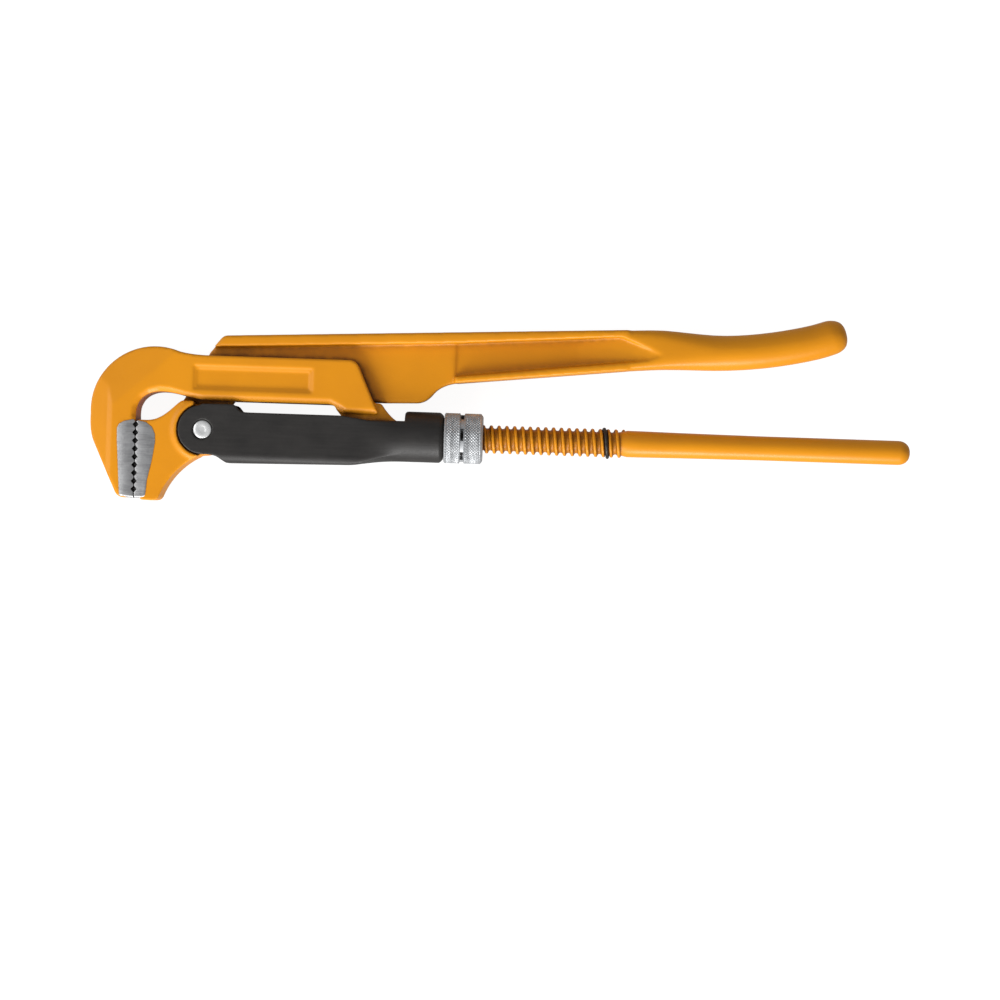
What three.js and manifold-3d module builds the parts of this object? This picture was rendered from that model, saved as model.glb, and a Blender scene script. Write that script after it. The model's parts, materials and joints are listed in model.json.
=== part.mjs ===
// Pipe wrench with 90 degree jaws: a hook arm, a lever through its slotted bar, a link and a captive nut.
// Millimetres. X runs along the screw spindle, away from the jaws. Y points to the upper handle and Z goes
// across the tool. The zero point is where the spindle's axis crosses the closed tooth line, mid thickness.
// The last lines move the whole tool onto the plane z = 0.

import * as THREE from "three";
import { mergeVertices } from "three/addons/utils/BufferGeometryUtils.js";
import Module from "manifold-3d";

const wasm = await Module();
wasm.setup();

// Fits
const RUNNING_GAP = 0.3; // between pieces that touch or turn on each other
const SLOT_GAP = 0.4; // on each side of the lever's web in the bar's slot
const JAW_GAP = 0.4; // between the two rows of tooth crests when the jaws are closed

// Teeth and jaws
const TOOTH_COUNT = 9;
const TOOTH_PITCH = 4.12;
const TOOTH_DEPTH = 1.35;
const TOOTH_NOTCH = 3.1; // height of one notch at the crest line
const FIRST_NOTCH_Y = 1.5;
const JAW_DEPTH = 36.4; // from the spindle's axis down to the tips
const HEAD_WIDTH = 23; // across the bar and both jaws

// Hook and bar
const HOOK_RADIUS = 32.8;
const HOOK_CENTRE = { x: 9.1, y: 8.9 };
const BAR_TOP = 37.9;
const BAR_BOTTOM = 15.1;
const BAR_END = 111; // where the top corner turns into the slanted end
const BAR_END_SLANT = 12.3; // how far the foot of the slanted end lies beyond its top
const HEEL_DROP = 4.4; // how far the heel reaches below the bar
const PANEL_INSET = 5; // rim left around the panel sunk in each side of the bar
const PANEL_DEPTH = 1.3;
const PANEL_DRAFT = 1.5; // width of the step that stands for the panel's sloping walls
const PANEL_START = 28.3;
const PANEL_END = 89.5;
const BACK_BEVEL_X = -12.5; // crease where the hook's side starts to slope to its back
const BACK_BEVEL_DROP = 2.6;
const CROWN_BEVEL_PLACE = { x: 14.5, y: 34.6 }; // a point on the crease across the hook's crown
const CROWN_BEVEL_TURN = 49;
const CROWN_BEVEL_DROP = 1.2;

// Lever
const WEB_WIDTH = 9; // web that passes through the slot
const PIVOT_X = 34;
const PIVOT_RADIUS = 4.1; // shank of the rivet
const RIVET_HEAD_RADIUS = 4.8;
const RIVET_HEAD_DEPTH = 1.4;
const BOSS_RADIUS = 13.2;
const FLANGE_WIDTH = 18.6;
const FLANGE_HEIGHT = 5.5;
const LOWER_FLANGE_HEIGHT = 3.2;
const BEAM_WEB_WIDTH = 7.4;
const TIP_X = 36; // left end of the lever above the bar
const LEVER_TOP_AT_TIP = 48.1;
const LEVER_TOP_SLOPE = 0.0467;
const BEAM_START = 161.6; // where the sunk panel of the handle starts
const BEAM_FOOT_AT_START = 28;
const BEAM_FOOT_SLOPE = 0.1065;
const LEVER_LENGTH = 358; // to the middle of the grip's end
const GRIP_LENGTH = 108;
const GRIP_DIAMETER = 18;

// Link
const LINK_WIDTH = 26;
const LINK_SHEET = 3.5;
const LINK_HEAD_RADIUS = 12.5;
const LINK_BEND_RADIUS = 4.6;
const LINK_FOOT = -16.6; // underside of the channel at its lowest
const NECK_LENGTH = 25.7; // from the bar's end to the link's collar
const COLLAR_LENGTH = 20;
const SPIGOT_LENGTH = 11.5; // neck of the collar inside the nut
const SPIGOT_WALL = 1.8;

// Spindle and lower handle
const THREAD_PITCH = 4;
const THREAD_CREST_RADIUS = 7.3;
const THREAD_HEIGHT = 1.2;
const THREAD_CREST_WIDTH = 1.2;
const THREAD_FLANK = 0.42; // half width gained per unit of depth
const THREAD_GAP = 0.4;
const THREAD_LENGTH = 88;
const THREAD_LEAD_IN = 4.3; // bare shank between the nut's start and the thread
const HANDLE_ROOT_RADIUS = 6.8;
const HANDLE_RADIUS = 6.2;
const HANDLE_LENGTH = 147.1; // from the thread's end
const HANDLE_TIP = 6; // length of the rounded end

// Nut and rings
const NUT_RADIUS = 12.95;
const NUT_LENGTH = 19.9;
const NUT_WALL_AT_SPIGOT_GAP = 0.3;
const RING_WIRE = 0.9;
const STOP_RING_WIRE = 1.7;
const RING_FROM_SPIGOT_END = 2;
const RING_GROOVE_WIDTH = 1.6;
const WINDOW_COUNT = 6;

// Derived sizes
const headHalf = HEAD_WIDTH / 2;
const webHalf = WEB_WIDTH / 2;
const slotHalf = webHalf + SLOT_GAP;
const linkHalf = LINK_WIDTH / 2;
const linkInnerHalf = linkHalf - LINK_SHEET;
const bossHalf = linkInnerHalf - RUNNING_GAP;
const hookFace = -JAW_GAP / 2;
const leverFace = JAW_GAP / 2;
const threadRoot = THREAD_CREST_RADIUS - THREAD_HEIGHT;
const collarBore = THREAD_CREST_RADIUS + THREAD_GAP;
const spigotRadius = collarBore + SPIGOT_WALL;
const collarStart = BAR_END + NECK_LENGTH;
const collarEnd = collarStart + COLLAR_LENGTH;
const spigotEnd = collarEnd + SPIGOT_LENGTH;
const nutStart = collarEnd + RUNNING_GAP;
const nutEnd = nutStart + NUT_LENGTH;
const counterbore = spigotRadius + NUT_WALL_AT_SPIGOT_GAP;
const webFoot = BAR_BOTTOM + 1.7; // underside of the web behind the boss
const jawTop = BAR_BOTTOM - SLOT_GAP - 0.1; // the wide part of the lever slides along under the bar
const neckTop = webFoot - SLOT_GAP;
const neckLeft = BAR_END - 9.5;
const neckRight = collarStart - RUNNING_GAP;
const threadStart = collarEnd + THREAD_LEAD_IN;
const threadEnd = threadStart + THREAD_LENGTH;
const handleEnd = threadEnd + HANDLE_LENGTH;
const ringAt = spigotEnd - RING_FROM_SPIGOT_END; // the groove for the ring between collar and nut
const gripRoot = LEVER_LENGTH - GRIP_LENGTH;

const paint = new THREE.MeshStandardMaterial({ color: 0xe09416, roughness: 0.42, metalness: 0 });
const blackened = new THREE.MeshStandardMaterial({ color: 0x322f2d, roughness: 0.5, metalness: 0.3 });
const steel = new THREE.MeshStandardMaterial({ color: 0xb9b9b6, roughness: 0.35, metalness: 1 });
const zinc = new THREE.MeshStandardMaterial({ color: 0xa9aaac, roughness: 0.4, metalness: 0.9 });
const wire = new THREE.MeshStandardMaterial({ color: 0x1c1a18, roughness: 0.5, metalness: 0.4 });

// A closed geometry as a solid that can be joined and cut.
function solid(geometry) {
  geometry.deleteAttribute("normal");
  geometry.deleteAttribute("uv");
  const merged = mergeVertices(geometry, 1e-4);
  const made = new wasm.Manifold(
    new wasm.Mesh({
      numProp: 3,
      vertProperties: merged.attributes.position.array,
      triVerts: new Uint32Array(merged.index.array),
    }),
  );
  return made;
}

// A solid as a named mesh.
function part(name, body, material) {
  const mesh = body.getMesh();
  const geometry = new THREE.BufferGeometry();
  geometry.setAttribute("position", new THREE.BufferAttribute(mesh.vertProperties, 3));
  geometry.setIndex(new THREE.BufferAttribute(mesh.triVerts, 1));
  geometry.computeVertexNormals();
  const made = new THREE.Mesh(geometry, material);
  made.name = name;
  return made;
}

// An outline in the XY plane, given thickness on both sides of the middle plane.
function plate(outline, halfWidth, curveSegments = 12) {
  const options = { depth: 2 * halfWidth, bevelEnabled: false, curveSegments };
  return solid(new THREE.ExtrudeGeometry(outline, options).translate(0, 0, -halfWidth));
}

function polygon(points) {
  return new THREE.Shape(points.map(([x, y]) => new THREE.Vector2(x, y)));
}

// A profile of [x, radius] points turned about the spindle's axis.
function turned(profile, segments = 24) {
  const points = profile.map(([x, radius]) => new THREE.Vector2(radius, x));
  return solid(new THREE.LatheGeometry(points, segments).rotateZ(-Math.PI / 2));
}

function tube(start, end, inner, outer, segments = 24) {
  return turned(
    [
      [start, inner],
      [start, outer],
      [end, outer],
      [end, inner],
      [start, inner],
    ],
    segments,
  );
}

function rod(start, end, radius, segments = 24) {
  return turned(
    [
      [start, 0],
      [start, radius],
      [end, radius],
      [end, 0],
    ],
    segments,
  );
}

// A rod along Z, for the pivot.
function pivotRod(halfLength, radius, segments = 32) {
  const shape = new THREE.CylinderGeometry(radius, radius, 2 * halfLength, segments);
  return solid(shape.rotateX(Math.PI / 2).translate(PIVOT_X, 0, 0));
}

// A straight ridge wound onto the spindle's axis. Its section is given as [along the axis, radius] points.
function helicalRidge(section, start, turns, stepsPerTurn = 14) {
  const steps = Math.round(turns * stepsPerTurn);
  const options = { depth: turns, steps, bevelEnabled: false };
  const geometry = new THREE.ExtrudeGeometry(polygon(section), options);
  const position = geometry.attributes.position;
  for (let i = 0; i < position.count; i++) {
    const turn = position.getZ(i);
    const radius = position.getY(i);
    const angle = turn * 2 * Math.PI;
    const x = start + position.getX(i) + turn * THREAD_PITCH;
    position.setXYZ(i, x, radius * Math.cos(angle), radius * Math.sin(angle));
  }
  return solid(geometry);
}

// A bar of changing rounded section, smooth from one station to the next. Each station holds x, y, the slope in
// degrees, height, width and squareness.
function loft(stations, around = 36, rowsBetween = 2) {
  const tracks = stations[0].map((_, k) => stations.map((station) => station[k]));
  const rows = (stations.length - 1) * rowsBetween;
  const smooth = (values, t) => {
    const line = new THREE.SplineCurve(values.map((value, i) => new THREE.Vector2(i, value)));
    return line.getPoint(t).y;
  };
  const geometry = new THREE.CylinderGeometry(1, 1, rows, around, rows);
  const position = geometry.attributes.position;
  for (let i = 0; i < position.count; i++) {
    const t = (position.getY(i) + rows / 2) / rows;
    const [x, y, degrees, height, width, squareness] = tracks.map((values) => smooth(values, t));
    const slope = THREE.MathUtils.degToRad(degrees);
    const squared = (v) => (Math.abs(v) < 1e-9 ? 0 : Math.sign(v) * Math.abs(v) ** (2 / squareness));
    const up = squared(position.getX(i)) * (height / 2);
    const side = squared(position.getZ(i)) * (width / 2);
    position.setXYZ(i, x - Math.sin(slope) * up, y + Math.cos(slope) * up, -side);
  }
  return solid(geometry);
}

const leverTopAt = (x) => LEVER_TOP_AT_TIP + (x - TIP_X) * LEVER_TOP_SLOPE;
const beamFootAt = (x) => BEAM_FOOT_AT_START + (x - BEAM_START) * BEAM_FOOT_SLOPE;

// The hook arm: hook jaw, slotted bar, neck, screw spindle and lower handle in one forging.
function hookOutline() {
  const heel = BAR_BOTTOM - HEEL_DROP;
  const backAngle = THREE.MathUtils.degToRad(69);
  const crestX = HOOK_CENTRE.x + HOOK_RADIUS * Math.cos(backAngle);
  const crestY = HOOK_CENTRE.y + HOOK_RADIUS * Math.sin(backAngle);
  const shape = new THREE.Shape();
  shape.moveTo(hookFace, -JAW_DEPTH + 0.3);
  shape.lineTo(hookFace, 7.8);
  shape.bezierCurveTo(hookFace, 14.2, 4.5, 18.9, 12.5, 18.9);
  shape.bezierCurveTo(20.5, 18.9, 27, BAR_BOTTOM, 37, BAR_BOTTOM);
  shape.lineTo(BAR_END - 13, BAR_BOTTOM);
  shape.bezierCurveTo(BAR_END - 9.5, BAR_BOTTOM, BAR_END - 8.5, heel, BAR_END - 5, heel);
  shape.lineTo(BAR_END + BAR_END_SLANT, heel);
  shape.lineTo(BAR_END + 1.6, BAR_TOP - 3.2);
  shape.quadraticCurveTo(BAR_END, BAR_TOP, BAR_END - 3.4, BAR_TOP);
  shape.lineTo(37, BAR_TOP);
  shape.quadraticCurveTo(27, BAR_TOP, crestX, crestY);
  shape.absarc(HOOK_CENTRE.x, HOOK_CENTRE.y, HOOK_RADIUS, backAngle, THREE.MathUtils.degToRad(184));
  shape.quadraticCurveTo(-24, -2.6, -21.4, -8.2);
  shape.lineTo(-10.2, -JAW_DEPTH + 4.4);
  shape.quadraticCurveTo(-8.9, -JAW_DEPTH + 0.8, -5.6, -JAW_DEPTH + 0.5);
  return shape;
}

// Notches for one row of teeth, opening to the side that direction points to.
function toothNotches(face, direction) {
  let notches = null;
  for (let i = 0; i < TOOTH_COUNT; i++) {
    const y = FIRST_NOTCH_Y - i * TOOTH_PITCH;
    const mouth = face - direction;
    const half = (TOOTH_NOTCH / 2) * (1 + 1 / TOOTH_DEPTH);
    const notch = plate(
      polygon([
        [mouth, y - half],
        [mouth, y + half],
        [face + direction * TOOTH_DEPTH, y],
      ]),
      HEAD_WIDTH,
    );
    notches = notches ? notches.add(notch) : notch;
  }
  return notches;
}

// A panel to cut from both sides, so that only the middle of the given half width is left.
function sidePanels(outline, leftHalf, reach = HEAD_WIDTH) {
  return plate(outline, reach).subtract(plate(outline, leftHalf));
}

// Two wedges that slope both sides off to the left of a crease line along Y.
function bevelWedges(run, drop, place) {
  const wedges = [1, -1].map((side) => {
    const wedge = polygon([
      [0, side * headHalf],
      [-2 * run, side * (headHalf - 2 * drop)],
      [-2 * run, side * (headHalf + 4)],
      [0, side * (headHalf + 4)],
    ]);
    const length = 160;
    const geometry = new THREE.ExtrudeGeometry(wedge, { depth: length, bevelEnabled: false });
    geometry.translate(0, 0, -length / 2).rotateX(-Math.PI / 2);
    return solid(place(geometry));
  });
  return wedges[0].add(wedges[1]);
}

function neck() {
  const shape = new THREE.Shape();
  shape.moveTo(neckLeft, BAR_BOTTOM - 2.5);
  shape.lineTo(neckLeft, neckTop);
  shape.lineTo(collarStart - 12.5, neckTop);
  shape.bezierCurveTo(collarStart - 9.2, 11.6, collarStart - 6.2, 8.2, collarStart - 1.1, 6.2);
  shape.lineTo(neckRight, 5.8);
  shape.lineTo(neckRight, -5.8);
  shape.lineTo(collarStart - 8.7, -6.2);
  shape.bezierCurveTo(collarStart - 18.7, -6.2, BAR_END - 3, 2, neckLeft + 2.6, 9.5);
  const across = linkInnerHalf - RUNNING_GAP - 0.6;
  const plan = polygon([
    [neckLeft - 2, -across],
    [collarStart - 14.7, -across],
    [neckRight, -4],
    [neckRight, 4],
    [collarStart - 14.7, across],
    [neckLeft - 2, across],
  ]);
  const height = 60;
  const taper = new THREE.ExtrudeGeometry(plan, { depth: height, bevelEnabled: false });
  taper.translate(0, 0, -height / 2).rotateX(Math.PI / 2);
  return plate(shape, across + 1).intersect(solid(taper));
}

function spindle() {
  const shank = threadRoot + 0.5;
  const root = collarStart - 14.7;
  const straight = handleEnd - HANDLE_TIP;
  const profile = [
    [root, 0],
    [root, shank],
    [threadStart - 2.5, shank],
    [threadStart - 1.5, threadRoot],
    [threadEnd - 2, threadRoot],
    [threadEnd + 1.5, HANDLE_ROOT_RADIUS],
    [threadEnd + 30, (HANDLE_ROOT_RADIUS + HANDLE_RADIUS) / 2],
    [threadEnd + 70, HANDLE_RADIUS],
    [straight, HANDLE_RADIUS],
  ];
  const roundSteps = 5;
  for (let i = 1; i < roundSteps; i++) {
    const angle = (i / roundSteps) * (Math.PI / 2);
    profile.push([straight + HANDLE_TIP * Math.sin(angle), HANDLE_RADIUS * Math.cos(angle) ** 0.8]);
  }
  profile.push([handleEnd, 0]);
  const base = THREAD_CREST_WIDTH / 2 + THREAD_FLANK * (THREAD_HEIGHT + 0.3);
  const section = [
    [-base, threadRoot - 0.3],
    [base, threadRoot - 0.3],
    [THREAD_CREST_WIDTH / 2, THREAD_CREST_RADIUS],
    [-THREAD_CREST_WIDTH / 2, THREAD_CREST_RADIUS],
  ];
  const ridge = helicalRidge(section, threadStart, THREAD_LENGTH / THREAD_PITCH);
  return turned(profile).add(ridge);
}

function hookArm() {
  const slot = polygon([
    [17.2, 6],
    [neckLeft, 6],
    [neckLeft, neckTop],
    [BAR_END + 20, neckTop],
    [BAR_END + 20, BAR_TOP + 12],
    [30.3, BAR_TOP + 12],
    [17.2, 12],
  ]);
  const panel = (draft) =>
    polygon([
      [PANEL_START + draft, BAR_BOTTOM + PANEL_INSET + draft],
      [PANEL_END - draft, BAR_BOTTOM + PANEL_INSET + draft],
      [PANEL_END - draft, BAR_TOP - PANEL_INSET - draft],
      [PANEL_START + draft, BAR_TOP - PANEL_INSET - draft],
    ]);
  const back = bevelWedges(-BACK_BEVEL_X, BACK_BEVEL_DROP, (wedge) => wedge.translate(BACK_BEVEL_X, 0, 0));
  const crownTurn = THREE.MathUtils.degToRad(CROWN_BEVEL_TURN);
  const crown = bevelWedges(10, CROWN_BEVEL_DROP, (wedge) =>
    wedge.rotateZ(-crownTurn).translate(CROWN_BEVEL_PLACE.x, CROWN_BEVEL_PLACE.y, 0),
  );
  return plate(hookOutline(), headHalf)
    .subtract(back)
    .subtract(crown)
    .subtract(sidePanels(panel(0), headHalf - PANEL_DEPTH / 2))
    .subtract(sidePanels(panel(PANEL_DRAFT), headHalf - PANEL_DEPTH))
    .subtract(toothNotches(hookFace, -1))
    .subtract(plate(slot, slotHalf))
    .add(neck())
    .add(spindle());
}

// The lever: lower jaw, boss on the rivet, web through the slot, beam handle and grip in one forging.
function jawOutline() {
  const shape = new THREE.Shape();
  shape.moveTo(leverFace, -JAW_DEPTH);
  shape.lineTo(4, -JAW_DEPTH - 0.4);
  shape.lineTo(9.6, -JAW_DEPTH - 0.6);
  shape.quadraticCurveTo(12.3, -JAW_DEPTH - 0.4, 12.9, -JAW_DEPTH + 1.6);
  shape.bezierCurveTo(16, -26.5, 22.5, -18.5, PIVOT_X - 1.6, -BOSS_RADIUS - 0.3);
  shape.lineTo(PIVOT_X, 0);
  shape.lineTo(29, jawTop);
  shape.lineTo(23, jawTop);
  shape.bezierCurveTo(18.4, 11.2, 13.5, 4, 5.5, 4);
  shape.lineTo(leverFace, 4);
  return shape;
}

// Seat for the link's round head, with a raised rim around it.
function jaw() {
  const seat = LINK_HEAD_RADIUS + RUNNING_GAP + 0.2;
  const rimHalf = linkHalf - 0.4;
  const ring = [
    new THREE.Vector2(seat - 2, -rimHalf),
    new THREE.Vector2(seat + 1.6, -rimHalf),
    new THREE.Vector2(seat + 4.6, -headHalf + 1),
    new THREE.Vector2(seat + 4.6, headHalf - 1),
    new THREE.Vector2(seat + 1.6, rimHalf),
    new THREE.Vector2(seat - 2, rimHalf),
    new THREE.Vector2(seat - 2, -rimHalf),
  ];
  const rim = solid(new THREE.LatheGeometry(ring, 48).rotateX(Math.PI / 2).translate(PIVOT_X, 0, 0));
  const inside = plate(jawOutline(), linkHalf);
  return plate(jawOutline(), headHalf)
    .add(rim.intersect(inside))
    .subtract(pivotRod(linkHalf + 1, seat, 48).subtract(pivotRod(bossHalf, seat + 1, 48)));
}

// The web and the beam's full outline from the side, down to the boss.
function beamOutline() {
  const shape = new THREE.Shape();
  shape.moveTo(25, 4);
  shape.lineTo(23, jawTop);
  shape.lineTo(TIP_X, BAR_TOP + 1.9);
  shape.lineTo(TIP_X + 6.4, leverTopAt(TIP_X + 6.4) - 0.8);
  shape.lineTo(TIP_X + 8, leverTopAt(TIP_X + 8));
  shape.lineTo(gripRoot, leverTopAt(gripRoot));
  shape.lineTo(gripRoot, beamFootAt(gripRoot));
  shape.lineTo(BEAM_START, BEAM_FOOT_AT_START);
  shape.quadraticCurveTo(BEAM_START - 7.1, 26.6, BEAM_START - 10.4, 22.6);
  shape.quadraticCurveTo(BEAM_START - 14.1, webFoot + 0.7, BEAM_START - 19, webFoot + 0.5);
  shape.lineTo(BEAM_START - 35.6, webFoot);
  shape.lineTo(PIVOT_X + 19.5, webFoot);
  shape.bezierCurveTo(PIVOT_X + 14.5, webFoot, PIVOT_X + 12.4, 12, PIVOT_X + BOSS_RADIUS - 1.2, 4);
  return shape;
}

// The grip grows out of the beam's end, turns round and bends up in one easy curve.
function grip() {
  const d = GRIP_DIAMETER;
  const root = gripRoot;
  const end = LEVER_LENGTH;
  const y = (leverTopAt(root) + beamFootAt(root)) / 2;
  return loft([
    [root - 4, y - 0.4, 3, 20.6, FLANGE_WIDTH, 9],
    [root + 6, y + 0.3, 3, 20.4, FLANGE_WIDTH, 6],
    [root + 18, y + 0.9, 1, 20.1, d + 0.4, 3.8],
    [root + 31, y + 0.6, -1, 19.1, d + 0.2, 2.7],
    [root + 44, y + 0.3, 1, 18.3, d, 2.1],
    [root + 56, y + 0.8, 5, d, d, 2],
    [root + 69, y + 2.2, 8, d, d, 2],
    [root + 82.5, y + 4.5, 11, d, d, 2],
    [root + 95.5, y + 7.5, 15, d, d, 2],
    [end - 5, y + 10, 16, d, d, 2],
    [end - 2, y + 10.8, 16, d * 0.95, d * 0.95, 2],
    [end + 0.8, y + 11.6, 16, d * 0.82, d * 0.82, 2],
    [end + 2.6, y + 12.1, 16, d * 0.6, d * 0.6, 2],
    [end + 3.4, y + 12.4, 16, d * 0.32, d * 0.32, 2],
  ]);
}

function lever() {
  const flangeFoot = (x) => leverTopAt(x) - FLANGE_HEIGHT;
  const panelFoot = (x) => beamFootAt(x) + LOWER_FLANGE_HEIGHT;
  const webSide = polygon([
    [0, -20],
    [BEAM_START, -20],
    [BEAM_START, flangeFoot(BEAM_START)],
    [TIP_X + 2.5, flangeFoot(TIP_X)],
    [0, flangeFoot(TIP_X)],
  ]);
  const beamPanel = polygon([
    [BEAM_START, panelFoot(BEAM_START)],
    [gripRoot + 11, panelFoot(gripRoot + 11) + 1],
    [gripRoot + 19, panelFoot(gripRoot + 19) + 2.7],
    [gripRoot - 4, leverTopAt(gripRoot - 4) - 3.6],
    [BEAM_START - 0.01, flangeFoot(BEAM_START)],
  ]);
  // The panel's floor runs level from the web and rises to the surface at the grip.
  const floors = [1, -1].map((side) => {
    const floor = polygon([
      [BEAM_START - 1, (side * BEAM_WEB_WIDTH) / 2],
      [gripRoot - 26, (side * BEAM_WEB_WIDTH) / 2],
      [gripRoot + 20, (side * FLANGE_WIDTH) / 2],
      [gripRoot + 20, side * HEAD_WIDTH],
      [BEAM_START - 1, side * HEAD_WIDTH],
    ]);
    const height = 200;
    const geometry = new THREE.ExtrudeGeometry(floor, { depth: height, bevelEnabled: false });
    return solid(geometry.translate(0, 0, -height / 2).rotateX(Math.PI / 2));
  });
  const handle = plate(beamOutline(), FLANGE_WIDTH / 2)
    .subtract(sidePanels(webSide, webHalf))
    .add(grip())
    .subtract(plate(beamPanel, HEAD_WIDTH).intersect(floors[0].add(floors[1])));
  return jaw()
    .add(pivotRod(bossHalf, BOSS_RADIUS, 48))
    .add(handle)
    .subtract(toothNotches(leverFace, 1))
    .subtract(pivotRod(linkHalf, PIVOT_RADIUS + RUNNING_GAP));
}

// The link: a pressed channel with round eyes on the rivet and a tubular collar on the spindle.
function linkOutline() {
  const r = LINK_HEAD_RADIUS;
  const shape = new THREE.Shape();
  shape.moveTo(PIVOT_X + 12.3, LINK_FOOT);
  shape.lineTo(BAR_END - 3, LINK_FOOT + 1.1);
  shape.lineTo(collarStart + 6, -12.9);
  shape.lineTo(collarStart + 6, 7.8);
  shape.lineTo(BAR_END + 7, 7.6);
  shape.lineTo(BAR_END - 7, 9.4);
  shape.lineTo(PIVOT_X + 23, 9.4);
  shape.quadraticCurveTo(PIVOT_X + 18.6, 9.4, PIVOT_X + 17.6, 11.4);
  shape.quadraticCurveTo(PIVOT_X + 16.6, 13.4, PIVOT_X + 13.5, 13.4);
  shape.lineTo(PIVOT_X, 13.2);
  shape.absarc(PIVOT_X, 0, r, THREE.MathUtils.degToRad(98), THREE.MathUtils.degToRad(272));
  shape.quadraticCurveTo(PIVOT_X + 6.6, -12.6, PIVOT_X + 8.4, -14);
  return shape;
}

function link() {
  const outer = linkOutline();
  const inside = polygon([
    [10, -30],
    [PIVOT_X + 10.5, -30],
    [PIVOT_X + 10.5, LINK_FOOT + 0.2 + LINK_SHEET],
    [BAR_END - 3, LINK_FOOT + 1.1 + LINK_SHEET],
    [collarStart, -12.9 + LINK_SHEET],
    [collarStart, 30],
    [10, 30],
  ]);
  const bend = new THREE.Shape();
  bend.moveTo(-linkHalf, 30);
  bend.lineTo(-linkHalf, LINK_FOOT + LINK_BEND_RADIUS);
  const r = LINK_BEND_RADIUS;
  bend.absarc(-linkHalf + r, LINK_FOOT + r, r, Math.PI, 1.5 * Math.PI);
  bend.absarc(linkHalf - r, LINK_FOOT + r, r, 1.5 * Math.PI, 2 * Math.PI);
  bend.lineTo(linkHalf, 30);
  const bent = new THREE.ExtrudeGeometry(bend, { depth: 200, bevelEnabled: false, curveSegments: 4 });
  bent.rotateY(Math.PI / 2);
  const chamfer = 1.8;
  const collar = turned(
    [
      [collarStart, 4],
      [collarStart, linkHalf - 1],
      [collarStart + 1, linkHalf - 0.05],
      [collarEnd - chamfer, linkHalf - 0.05],
      [collarEnd, linkHalf - chamfer],
      [collarEnd, spigotRadius],
      [spigotEnd, spigotRadius],
      [spigotEnd, 4],
      [collarStart, 4],
    ],
    48,
  );
  const groove = tube(
    ringAt - RING_GROOVE_WIDTH / 2,
    ringAt + RING_GROOVE_WIDTH / 2,
    spigotRadius - RING_WIRE / 2 - RUNNING_GAP,
    spigotRadius + 1,
    48,
  );
  const head = RIVET_HEAD_RADIUS + RUNNING_GAP;
  return plate(outer, linkHalf)
    .intersect(solid(bent))
    .subtract(plate(inside, linkInnerHalf))
    .add(collar)
    .subtract(rod(collarStart - 1, spigotEnd + 1, collarBore, 48))
    .subtract(groove)
    .subtract(pivotRod(linkHalf + 1, PIVOT_RADIUS + RUNNING_GAP))
    .subtract(pivotRod(linkHalf + 1, head).subtract(pivotRod(linkHalf - RIVET_HEAD_DEPTH, head + 1)));
}

function rivet() {
  const top = linkHalf;
  const half = [
    [PIVOT_RADIUS, 0],
    [PIVOT_RADIUS, top - RIVET_HEAD_DEPTH + RUNNING_GAP],
    [RIVET_HEAD_RADIUS, top - RIVET_HEAD_DEPTH + RUNNING_GAP],
    [RIVET_HEAD_RADIUS, top - 0.7],
    [RIVET_HEAD_RADIUS - 0.7, top - 0.2],
    [RIVET_HEAD_RADIUS - 2, top],
    [0, top],
  ];
  const mirrored = half.map(([radius, z]) => [radius, -z]).reverse();
  const points = [...mirrored.slice(0, -1), ...half.slice(1)].map(([r, z]) => new THREE.Vector2(r, z));
  return solid(new THREE.LatheGeometry(points, 32).rotateX(Math.PI / 2).translate(PIVOT_X, 0, 0));
}

function nut() {
  const valley = NUT_RADIUS - 0.7;
  const chamfer = 1.1;
  const boreStart = spigotEnd + RUNNING_GAP;
  const body = turned(
    [
      [nutStart, counterbore],
      [nutStart, NUT_RADIUS - 0.5],
      [nutStart + 0.5, NUT_RADIUS],
      [ringAt - 1.3, NUT_RADIUS],
      [ringAt - 0.9, valley],
      [ringAt + 0.9, valley],
      [ringAt + 1.3, NUT_RADIUS],
      [nutEnd - chamfer, NUT_RADIUS],
      [nutEnd, NUT_RADIUS - 1.8],
      [nutEnd, collarBore],
      [boreStart, collarBore],
      [boreStart, counterbore],
      [nutStart, counterbore],
    ],
    48,
  );
  const ringGroove = tube(
    ringAt - RING_GROOVE_WIDTH / 2,
    ringAt + RING_GROOVE_WIDTH / 2,
    counterbore - 0.5,
    spigotRadius + RING_WIRE / 2 + 2 * RUNNING_GAP,
    48,
  );
  let windows = null;
  for (let i = 0; i < WINDOW_COUNT; i++) {
    const slot = new THREE.BoxGeometry(RING_GROOVE_WIDTH, 5, 6.4).translate(ringAt, 0, 0);
    const angle = THREE.MathUtils.degToRad(8 + (i * 360) / WINDOW_COUNT);
    slot.translate(0, counterbore + 2.4, 0).rotateX(Math.PI / 2 - angle);
    const cut = solid(slot);
    windows = windows ? windows.add(cut) : cut;
  }
  // The inner ridge lies half a pitch from the spindle's, narrower by the gap on each flank.
  const halfWidthAt = (radius) => {
    const spindleHalf = THREAD_CREST_WIDTH / 2 + THREAD_FLANK * (THREAD_CREST_RADIUS - radius);
    return THREAD_PITCH / 2 - spindleHalf - THREAD_GAP;
  };
  const inner = threadRoot + THREAD_GAP;
  const outer = collarBore + 0.4;
  const section = [
    [-halfWidthAt(inner), inner],
    [halfWidthAt(inner), inner],
    [halfWidthAt(outer), outer],
    [-halfWidthAt(outer), outer],
  ];
  const phase = threadStart + THREAD_PITCH / 2;
  const start = phase + THREAD_PITCH * Math.ceil((boreStart + 1.4 - phase) / THREAD_PITCH);
  const turns = (nutEnd - 1.4 - start) / THREAD_PITCH;
  return body.subtract(ringGroove).subtract(windows).add(helicalRidge(section, start, turns));
}

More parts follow.
